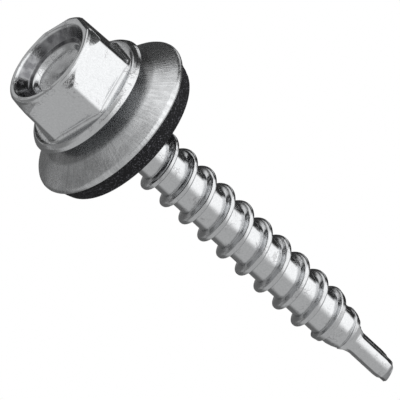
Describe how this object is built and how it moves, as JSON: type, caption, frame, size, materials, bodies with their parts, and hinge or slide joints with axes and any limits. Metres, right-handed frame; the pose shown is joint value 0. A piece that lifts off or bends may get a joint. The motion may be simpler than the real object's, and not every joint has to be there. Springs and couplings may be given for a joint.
{
  "type": "self drilling screw",
  "caption": "Hexagon-head self-drilling screw with a round flange, a coarse thread, a fluted drill point and a captive bonded sealing washer.",
  "frame": {"origin": "centre of the head's top face, on which the screw stands", "axes": "+Z along the screw's axis towards the drill point; +X across the two flutes of the drill point"},
  "size_m": [0.0138, 0.0138, 0.0382],
  "materials": {
    "zinc_steel": "bright zinc plating, semi-gloss",
    "galvanised_plate": "matt galvanised sheet",
    "black_rubber": "matt EPDM rubber"
  },
  "bodies": {
    "screw": {"screw": "zinc_steel"},
    "sealing_washer": {"washer_plate": "galvanised_plate", "rubber_seal": "black_rubber"}
  },
  "joints": [
    {"name": "washer_spin", "type": "hinge", "parent": "screw", "child": "sealing_washer", "pos_m": [0, 0, 0.0065], "axis": [0, 0, 1], "continuous": true}
  ]
}
